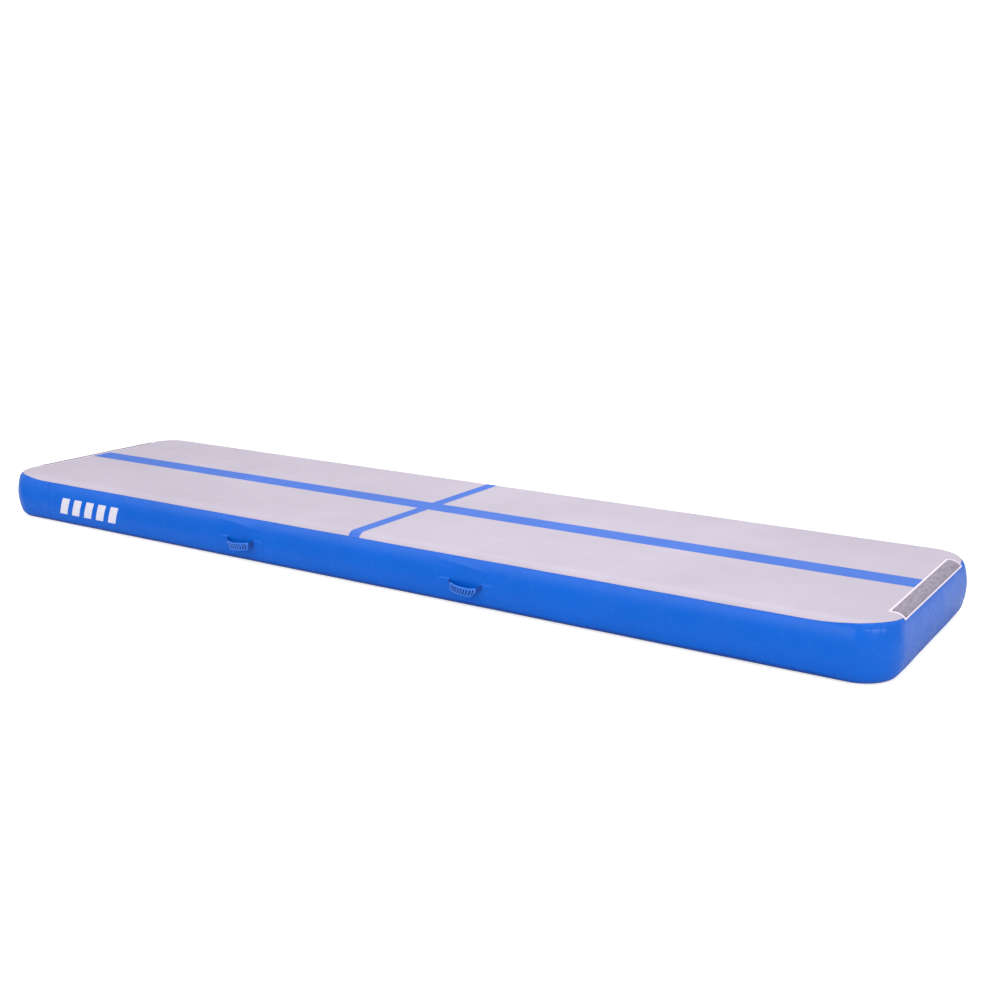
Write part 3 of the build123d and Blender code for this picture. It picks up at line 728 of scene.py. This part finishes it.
def make_end_band(side_name, middle_s, material):
    """End band: wraps both corners, and its two ends lap over the long bands."""
    half = PERIMETER / 4 - LAP_X
    seam = PERIMETER / 4 - SEAM_X
    corner = PERIMETER / 4 - CORNER_S
    spread = QUARTER_TURN / 2 + 0.06
    stops = [
        (-half, 0.001), (-half + 0.003, 0.006), (-seam - 0.004, 0.0015), (-seam + 0.006, 0.006),
        (-corner - spread, 0.0023), (-corner + spread, 0.016), (corner - spread, 0.0023),
        (corner + spread, 0.006), (seam - 0.006, 0.0015), (seam + 0.004, 0.006),
        (half - 0.003, 0.001), (half, 1),
    ]
    along = stations(*stops)
    lifted = np.clip((np.abs(along) - seam + 0.005) / 0.005, 0, 1)[None, :]
    offset = LAP_PROUD * lifted * lifted * (3 - 2 * lifted)
    under = np.minimum(offset * SKIN / LAP_PROUD - SKIN + GLUE, offset - 0.5 * MM)
    piece = wall_layer(f"{side_name}_end_wall", along + middle_s, wall_angles(), offset, under)
    fix_to(dress(piece, material), "mat", f"outer_side_band_{side_name}")


def make_inner_band(material):
    """The wall's first layer, glued behind the outer bands."""
    s = stations((0, 0.03), (PERIMETER, 1))[:-1]
    angles = np.linspace(88, -88, 45)
    piece = wall_layer("inner_wall", s, angles, -SKIN - GLUE, -2 * SKIN, wrap=True)
    bore_hole(piece)
    fix_to(dress(piece, material), "mat", "inner_side_band")


# ---- stripes, patches and print
STRIPE_PROUD = 0.0002
PATCH_EDGE = 31
TAPE_EDGE = 39


def make_centre_stripe(material):
    """Long stripe on the flat of the deck."""
    low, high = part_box("centre_stripe")
    x = np.linspace(low.x, high.x, 240)
    y = np.linspace(low.y, high.y, 9)[:, None]
    outer = stacked(x, y, HEIGHT + STRIPE_PROUD)
    inner = outer - np.array([0, 0, 2 * STRIPE_PROUD])
    piece = sheet_piece("long_stripe", outer, inner, outer[:, :, :2])
    fix_to(dress(piece, material), "mat", "centre_stripe")


def lapped_strip(end_s, along, start, last_angle, offset, top_rows, turn_rows):
    """Grid that runs outward over the level deck from start, then over the shoulder."""
    x, y, out_x, out_y = (v[0] for v in round_the_mat(np.array([end_s])))
    base = np.array([x, y]) + along[:, None] * np.array([-out_y, out_x])
    out = np.array([out_x, out_y])
    s = end_s + along
    rows, lengths = [], []
    for reach in np.linspace(start, 0, top_rows)[:-1]:
        rise = HALF_HEIGHT + offset + relief(s, 90) * np.clip(1 + reach / RIM_Y, 0, 1) ** 8
        rows.append(np.column_stack([base + out * reach, MID_Z + rise]))
        lengths.append(reach)
    for angle in np.linspace(90, last_angle, turn_rows):
        u, v = outline(offset + relief(s, angle), np.full_like(s, angle))
        rows.append(np.column_stack([base + out * u[:, None], MID_Z + v]))
        lengths.append(SHOULDER * radians(90 - angle))
    return np.array(rows), stacked(along, np.array(lengths)[:, None])


def make_cross_stripe(material):
    """Two halves from the centre stripe, over the shoulders to the deck's edge."""
    low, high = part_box("cross_stripe")
    half = (high.x - low.x) / 2
    along = np.linspace(-half, half, 9)
    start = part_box("centre_stripe")[1].y - RIM_Y
    last = DECK_EDGE + 0.1
    for name, middle in (("front", 0.0), ("back", PERIMETER / 2)):
        outer, uv = lapped_strip(middle, along, start, last, SKIN + STRIPE_PROUD, 24, 26)
        inner, _ = lapped_strip(middle, along, start, last, SKIN - STRIPE_PROUD, 24, 26)
        piece = sheet_piece(f"cross_stripe_{name}", outer, inner, uv)
        fix_to(dress(piece, material), "mat", "cross_stripe")


def end_layer(node, middle, columns, last_angle, bottom, top, top_rows):
    """Grids of a strip across an end of the mat, and half its length and where it starts."""
    low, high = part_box(node)
    half = (high.y - low.y) / 2
    start = min(abs(low.x), abs(high.x)) - RIM_X
    along = np.linspace(-half, half, columns)
    outer, uv = lapped_strip(middle, along, start, last_angle, SKIN + top, top_rows, 24)
    inner, _ = lapped_strip(middle, along, start, last_angle, SKIN + bottom, top_rows, 24)
    return outer, inner, uv, half, start


def make_end_patch(side_name, tape_name, middle, material, tape_material, thread):
    """White backing patch with its hook or loop tape and the tape's sewn border."""
    node = f"{side_name}_end_patch"
    outer, inner, uv, _, _ = end_layer(node, middle, 200, PATCH_EDGE, 0.05 * MM, 0.6 * MM, 8)
    patch = sheet_piece(f"{side_name}_end_backing", outer, inner, uv)
    fix_to(dress(patch, material), "mat", node)

    outer, inner, uv, half, start = end_layer(
        tape_name, middle, 400, TAPE_EDGE, 0.5 * MM, 1.45 * MM, 17
    )
    pile = np.random.default_rng(7).normal(0, 0.16 * MM, outer.shape[:2])
    pile[[0, -1], :] = -0.5 * MM
    pile[:, [0, -1]] = -0.5 * MM
    outer = outer + pile[:, :, None] * np.array([0.3, 0, 1])
    tape = sheet_piece(f"{side_name}_end_tape", outer, inner, uv)
    fix_to(dress(tape, tape_material), "mat", tape_name)
    make_border_stitches(side_name, middle, half, start, thread)


def make_border_stitches(side_name, middle, half, start, thread):
    """Lock stitches sewn a little inside the tape's outline."""
    inset, pitch, length = 2.5 * MM, 4.2 * MM, 3.0 * MM
    radius, arch, sunk = 0.28 * MM, 0.45 * MM, 0.1 * MM
    steps, sides = 7, 6
    arc_end = SHOULDER * radians(90 - TAPE_EDGE) - inset
    top_start, side = start + inset, half - inset
    path = []
    for reach in (top_start, arc_end):
        path += [(a, reach, False) for a in np.arange(-side, side, pitch)]
    for end in (-side, side):
        reaches = np.arange(top_start + pitch, arc_end - pitch / 2, pitch)
        path += [(end, reach, True) for reach in reaches]
    vertices, faces = [], []
    for along, reach, turned in path:
        centre, normal, direction = tape_frame(middle, along, reach, turned)
        side_way = normal.cross(direction)
        first = len(vertices)
        for step in np.linspace(-1, 1, steps):
            lift = arch * (1 - step * step) - sunk
            thick = radius * (1.05 - 0.5 * step * step)
            at = centre + direction * (step * length / 2) + normal * lift
            for k in range(sides):
                a = 2 * pi * k / sides
                vertices.append(at + side_way * (thick * cos(a)) + normal * (thick * sin(a)))
        last = first + (steps - 1) * sides
        for ring in range(first, last, sides):
            for k in range(sides):
                a, b = ring + k, ring + (k + 1) % sides
                faces.append([a, b, b + sides, a + sides])
        faces.append([first + k for k in range(sides)][::-1])
        faces.append([last + k for k in range(sides)])
    uv = [(v.y, v.x) for v in vertices]
    piece = new_piece(f"{side_name}_end_stitches", vertices, faces, uv, sharp=60)
    fix_to(dress(piece, thread), "mat")


def tape_frame(middle, along, reach, turned):
    """Place, outward normal and run of a stitch on the end tape."""
    x, y, out_x, out_y = (v[0] for v in round_the_mat(np.array([middle])))
    out, across = Vector((out_x, out_y, 0)), Vector((-out_y, out_x, 0))
    angle = 90 - np.degrees(max(reach, 0) / SHOULDER)
    u, v = outline(SKIN + 1.5 * MM + relief(middle + along, angle), angle)
    place = Vector((x, y, MID_Z)) + across * along + out * (float(u) + min(reach, 0))
    place.z += float(v)
    turn = radians(angle)
    normal = out * cos(turn) + Vector((0, 0, sin(turn)))
    direction = out * sin(turn) - Vector((0, 0, cos(turn))) if turned else across
    return place, normal, direction


def make_print(material):
    """Five plain slanted bars of white ink on the front wall."""
    low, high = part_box("side_print")
    slant, width, bars, thick = 30 * MM, 46 * MM, 5, 0.2 * MM
    pitch = (high.x - low.x - slant - width) / (bars - 1)
    z = np.linspace(low.z, high.z, 24)
    angle = angle_at(z)[:, None]
    for bar in range(bars):
        left = low.x + bar * pitch + slant * (z - low.z) / (high.z - low.z)
        s = left[:, None] + np.linspace(0, width, 14)[None, :]
        outer, inner = rim_points(s, angle, thick), rim_points(s, angle, -thick)
        uv = stacked(s, outline_length(angle))
        piece = sheet_piece(f"print_bar_{bar + 1}", outer, inner, uv)
        fix_to(dress(piece, material), "mat", "side_print")


# ---- carry handles
HANDLE_SPAN = 0.138
HANDLE_AXIS_OUT = 0.0045
HANDLE_RISE = 0.0215
HANDLE_SAG = 0.0135
STRAP_HEIGHT = 0.028
TUCKED_HEIGHT = 0.6 * STRAP_HEIGHT
TUCKED_OUT = 0.0012
STRAP_END = 0.110
MOUTH = 0.070
BEND_START, BEND_END = 0.077, 0.054


def outward_sign(name):
    """1 where a handle's own length runs towards the nearer end of the mat, -1 elsewhere."""
    return (1 if name.endswith("right") else -1) * (1 if name.startswith("front") else -1)


def strap_lines(name):
    """Distance along, out from the wall and drop of the strap's middle line.

    The strap hangs lowest towards the nearer end of the mat and is nearly level elsewhere."""
    along = np.linspace(-STRAP_END, STRAP_END, 225)
    half = HANDLE_SPAN / 2
    radius = (half**2 + HANDLE_RISE**2) / (2 * HANDLE_RISE)
    inside = np.clip(along, -half, half)
    arch = np.sqrt(radius**2 - inside**2) - radius + HANDLE_RISE
    out = np.where(np.abs(along) < half, HANDLE_AXIS_OUT + arch, TUCKED_OUT)
    out = np.convolve(np.pad(out, 4, mode="edge"), np.ones(9) / 9, mode="valid")
    across = outward_sign(name) * inside / half
    drop = HANDLE_SAG * (1 - across**4) * (1 + 0.5 * across) / 1.17
    return along, out, drop


def handle_place(name, along, out, z):
    """World point of a handle's local place: along the wall, out from it, and height."""
    side = -1 if name.startswith("front") else 1
    x = handle_s(name) if side < 0 else PERIMETER / 2 - handle_s(name)
    return stacked(x - side * along, side * (HALF_WIDTH + out), z)


def make_strap(name, material):
    """Webbing in two halves, each running out from the wall into the handle's arch."""
    along, out, drop = (line[:, None] for line in strap_lines(name))
    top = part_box(f"{name}_handle_webbing")[1].z
    around = np.linspace(0, 2 * pi, 24, endpoint=False)
    up, depth = squarish(np.cos(around), 0.45), squarish(np.sin(around), 0.75)
    follow = plateau(np.abs(along) - STRAP_END, STRAP_END - MOUTH, 0.012)
    starts = np.where(outward_sign(name) * along > 0, 0.037, 0.052)
    narrowed = plateau(np.minimum(np.abs(along) - starts - 0.016, 0), 0, 0.016)
    heights = STRAP_HEIGHT + (TUCKED_HEIGHT - STRAP_HEIGHT) * narrowed
    thick = 1.25 * MM - 0.65 * MM * follow
    z = top - drop - heights / 2 * (1 - up)
    wall_out = outline(0, angle_at(z))[0] - INSET - 2.0 * MM
    rings = handle_place(name, along, out + thick * depth + follow * wall_out, z)
    uv = stacked(along, heights / 2 * up)
    middle = len(along) // 2
    _, axis_y, axis_z = joint_named(f"{name}_handle_swing")["pos_m"]
    for half_name, part in (("a", slice(0, middle + 1)), ("b", slice(middle, None))):
        piece = tube_piece(f"{name}_strap_{half_name}", rings[part], uv[part])
        dress(piece, material)
        sign = -1 if half_name == "a" else 1
        start = handle_place(name, np.array(sign * BEND_START), 0.0, axis_z)
        end = handle_place(name, np.array(sign * BEND_END), 0.0, axis_z)
        start[1] = end[1] = axis_y
        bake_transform(piece)
        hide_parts(f"{name}_handle_webbing", f"{name}_handle_anchors")


def make_grip(name, material):
    """Moulded sleeve on the strap: raised rails, curved ribs between them, tapered ends."""
    low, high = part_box(f"{name}_handle_grip")
    half_length = (high.x - low.x) / 2
    half_height, half_thick = STRAP_HEIGHT / 2 + 1.2 * MM, 4.0 * MM
    middle_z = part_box(f"{name}_handle_webbing")[1].z - STRAP_HEIGHT / 2
    outward = outward_sign(name)
    along = np.linspace(-half_length, half_length, 217)
    line_along, line_out, line_drop = strap_lines(name)
    out = np.interp(along, line_along, line_out)
    lean = np.gradient(out, along)[:, None]
    drop = np.interp(along, line_along, line_drop)[:, None]
    along, out = along[:, None], out[:, None]
    around = np.linspace(0, 2 * pi, 96, endpoint=False)
    up, depth = squarish(np.cos(around), 0.62), squarish(np.sin(around), 0.55)

    end = np.minimum(1.0, (half_length - np.abs(along)) / (7 * MM))
    taper = 0.80 + 0.20 * (1 - (1 - end) ** 2) ** 0.5
    rib_pitch, rib_bow, rib_slant, groove = 11 * MM, 5 * MM, 5 * MM * outward, 2.8 * MM
    ribs = np.cos(2 * pi * (along + rib_bow * up * up - rib_slant * up) / rib_pitch)
    face = plateau(up, 0.58, 0.14) * (depth > 0.2)
    # The rib hollows: cut into the sleeve, and also where its finish paints shade.
    hollow_shade = np.clip(ribs * 1.9 + 0.35, 0, 1) * face
    hollow_shade = hollow_shade * plateau(along, half_length - 10 * MM, 4 * MM)
    waist = 0.7 * MM * np.abs(up) ** 4
    thick = (half_thick + waist) * depth * taper - groove * hollow_shade
    narrow = 0.45 * plateau(outward * along - half_length, 2 * MM, 16 * MM)
    z = middle_z - drop + half_height * (up * taper * (1 - narrow) + narrow)
    level = thick / (1 + lean * lean) ** 0.5
    rings = handle_place(name, along - level * lean, out + level, z)
    uv = stacked(along, half_height * up)
    piece = tube_piece(f"{name}_grip", rings, uv, 50, hollow_shade)
    fix_to(dress(piece, material), f"{name}_handle", f"{name}_handle_grip")


def make_handle_patch(name, material):
    """Glued base patch, raised over the strap's two ends and pressed in along its border."""
    rows = stations((-PATCH_HALF_HEIGHT, 0.002), (PATCH_HALF_HEIGHT, 1))
    cols = np.linspace(-1, 1, 121)
    over = np.maximum(np.abs(rows) - (PATCH_HALF_HEIGHT - PATCH_CORNER), 0)
    reach = PATCH_HALF_LENGTH - PATCH_CORNER + np.sqrt(PATCH_CORNER**2 - over**2 + 1e-9)
    along = reach[:, None] * cols[None, :]
    height = np.broadcast_to(rows[:, None], along.shape)
    strap_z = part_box(f"{name}_handle_webbing")[1].z - TUCKED_HEIGHT / 2 - PATCH_Z
    off_strap, half = height - strap_z, TUCKED_HEIGHT / 2
    covered = plateau(np.abs(along) - 0.090, 0.020, 0.004) * plateau(off_strap, half + MM, 0.004)
    lip = bell(np.abs(along) - MOUTH - 0.003, 0.005) * plateau(off_strap, half, 0.005)
    to_side = reach[:, None] - np.abs(along)
    to_edge = np.minimum(to_side, PATCH_HALF_HEIGHT - np.abs(height))
    groove = bell(to_edge - 7 * MM, 1.2 * MM)
    edge = np.clip(to_edge / (1.5 * MM), 0, 1) ** 0.5
    raised = 0.25 * MM + 0.45 * MM * edge - 0.3 * MM * groove
    raised = raised + 1.6 * MM * covered + 0.9 * MM * lip
    side = -1 if name.startswith("front") else 1
    s = handle_s(name) + along
    angle = angle_at(PATCH_Z + height)
    outer = rim_points(s, angle, raised)
    inner = rim_points(s, angle, 0.02 * MM)
    uv = stacked(along * -side, height)
    piece = sheet_piece(f"{name}_base_patch", outer, inner, uv)
    fix_to(dress(piece, material), "mat", f"{name}_handle_patch")


# ---- valve details
def make_spring(material):
    """Straight compression spring behind the button."""
    low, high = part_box("valve_spring")
    wire = 0.45 * MM
    centre = (low + high) / 2
    radius = (high.x - low.x) / 2 - wire
    length = high.y - low.y - 2 * wire
    turns, per_turn, around = 4.5, 40, 12
    t = np.linspace(0, 1, int(turns * per_turn) + 1)[:, None]
    turn, a = 2 * pi * turns * t, 2 * pi * np.arange(around) / around
    reach = radius + wire * np.cos(a)
    y = low.y + wire + length * t + wire * np.sin(a)
    rings = stacked(centre.x + reach * np.cos(turn), y, centre.z + reach * np.sin(turn))
    piece = tube_piece("button_spring", rings, stacked(t, a / (2 * pi)), 60)
    fix_to(dress(piece, material), "mat", "valve_spring")
    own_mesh(piece)


def make_tether_fold(material):
    """The folded strap between the ring on the collar and the cap's loop."""
    x, y, z = joint_named("valve_cap_flip")["pos_m"]
    low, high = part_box("cap_tether_fold")
    half_thick = 0.75 * MM
    middle = x - low.x - half_thick
    around = np.linspace(0, 2 * pi, 24, endpoint=False)
    across = squarish(np.cos(around), 0.4) * (high.z - low.z) / 2
    r = middle + squarish(np.sin(around), 0.6) * half_thick
    turn = np.linspace(-pi / 2, -3 * pi / 2, 33)[:, None]
    rings = stacked(x + r * np.cos(turn), y + r * np.sin(turn), z + across)
    piece = tube_piece("cap_tether_bend", rings, stacked(middle * turn, across))
    dress(piece, material)
    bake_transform(piece)
    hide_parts("cap_tether_fold")


def dress_node(node, material, bevel=0.0):
    """Finish a CAD node that stays, and round its edges a little."""
    piece = frame["nodes"][node]
    piece.data.materials.clear()
    piece.data.materials.append(material)
    piece.data.shade_smooth()
    piece.data.set_sharp_from_angle(angle=radians(30))
    if bevel:
        edge = piece.modifiers.new("edges", "BEVEL")
        edge.width = bevel
        edge.segments = 2
        edge.limit_method = "ANGLE"
        edge.angle_limit = radians(50)


# ---- floor and light
def make_floor():
    """Plain white studio floor, which a glossy wall sees darker beside the mat."""
    mesh = bpy.data.meshes.new("floor")
    corners = [(-30, -30, 0), (30, -30, 0), (30, 30, 0), (-30, 30, 0)]
    mesh.from_pydata(corners, [], [(0, 1, 2, 3)])
    floor = add_object("floor", mesh)
    floor.location.z = -0.5 * MM
    bounce, direct, glow = (0.8, 0.8, 0.8), (0.6, 0.59, 0.57), 0.62
    made = Finish("floor_white", bounce, 0.9, 0.1)
    made.bump(made.noise(0.02, 2), 0.02 * MM)
    ray = made.node("LightPath").outputs
    beyond = made.spread(made.axis(made.place, 0), 1.8, 2.2, 0.08, 0.55)
    beside = made.spread(made.axis(made.place, 1), -0.72, -0.57, 0.08, 0.45)
    mirrored = made.math("MAXIMUM", beyond, beside)
    grey = made.node("CombineColor", {channel: mirrored for channel in range(3)}).outputs[0]
    bounced = made.mix(ray["Is Glossy Ray"], bounce, grey)
    made.paint(made.mix(ray["Is Camera Ray"], bounced, direct))
    made.inputs["Emission Color"].default_value = (1, 1, 1, 1)
    seen = made.spread(ray["Is Camera Ray"], 0, 1, 0.0, glow)
    made.feed(made.inputs["Emission Strength"], seen)
    mesh.materials.append(made.material)


def make_area_light(name, place, target, size, power):
    """Softbox of the given width and height in metres and power in watts."""
    data = bpy.data.lights.new(name, "AREA")
    data.shape = "RECTANGLE"
    data.size, data.size_y = size
    data.energy = power
    light = add_object(name, data)
    light.location = place
    aim = Vector(target) - Vector(place)
    light.rotation_euler = aim.to_track_quat("-Z", "Y").to_euler()


def make_light():
    """White surroundings, dimmer towards the horizon, and broad softboxes above and in front."""
    horizon, zenith, backdrop = 0.55, 1.0, 1.1
    world = bpy.data.worlds.new("studio")
    bpy.context.scene.world = world
    world.use_nodes = True
    made = Nodes(world.node_tree)
    up = made.axis(made.node("TexCoord").outputs["Generated"], 2)
    rise = made.spread(up, 0.0, 0.8, horizon, zenith)
    camera_ray = made.node("LightPath").outputs["Is Camera Ray"]
    strength = made.node("Mix", {"Factor": camera_ray, 2: rise, 3: backdrop}).outputs[0]
    inputs = world.node_tree.nodes["Background"].inputs
    made.feed(inputs["Strength"], strength)
    inputs["Color"].default_value = (1, 1, 1, 1)
    make_area_light("overhead", (0.3, 0.8, 3.4), (0, 0.2, 0), (5.5, 3.0), 100)
    make_area_light("front", (-1.6, -4.6, 2.1), (-0.6, -0.5, 0.2), (8.0, 3.0), 165)
    make_area_light("right", (5.5, -2.0, 2.2), (1.5, -0.2, 0.1), (4.0, 2.0), 110)
    view = bpy.context.scene.view_settings
    view.view_transform = "Standard"
    view.look = "None"


# ---- the whole model
make_camera()
make_floor()
make_light()

deck = deck_finish()
blue = pvc("wall_pvc", WALL_BLUE, *WALL_CLOTH).material
bottom = pvc("bottom_pvc", BOTTOM_BLUE, *WALL_CLOTH).material
stripe = pvc("stripe_pvc", STRIPE_BLUE, *FLAT_CLOTH).material
white = pvc("patch_pvc", PATCH_WHITE, *PATCH_CLOTH).material
inner_cloth = pvc("inner_pvc", INNER_GREY, *PATCH_CLOTH).material
tape = hook_finish()
ink = print_finish()
webbing = webbing_finish("handle_webbing", WEBBING_BLUE_AND_SHADE)
thread = webbing_finish("sewing_thread", shade(HOOK_GREY, 0.9))
grip = moulded_finish("handle_grip", GRIP_BLUE, 0.36, hollow_shade=GRIP_GROOVE_SHADE)
plastic = moulded_finish("valve_plastic", PLASTIC_BLACK, 0.42)
rubber = moulded_finish("valve_rubber", RUBBER_BLACK, 0.62, 0.08 * MM, 0.3)
steel = steel_finish()
yarn = yarn_finish()

make_face_skin("deck", 1, deck, "top_deck_skin")
make_face_skin("bottom", -1, bottom, "bottom_skin")
make_long_band("front", 0.0, blue)
make_long_band("back", PERIMETER / 2, blue)
make_end_band("right", PERIMETER / 4, blue)
make_end_band("left", -PERIMETER / 4, blue)
make_inner_band(inner_cloth)
make_centre_stripe(stripe)
make_cross_stripe(stripe)
make_end_patch("right", "right_end_hook_strip", PERIMETER / 4, white, tape, thread)
make_end_patch("left", "left_end_loop_strip", -PERIMETER / 4, white, tape, thread)
make_print(ink)
for handle in HANDLES:
    make_handle_patch(handle, blue)
    make_strap(handle, webbing)
    make_grip(handle, grip)
make_spring(steel)
make_tether_fold(rubber)

for node in ("valve_body", "valve_nut", "valve_guide", "valve_poppet", "push_button", "valve_cap"):
    dress_node(node, plastic, 0.25 * MM)
for node in ("valve_gasket", "poppet_seal", "cap_seal", "cap_tether_ring", "cap_tether_loop"):
    dress_node(node, rubber, 0.2 * MM)
dress_node("drop_stitch_yarns", yarn)
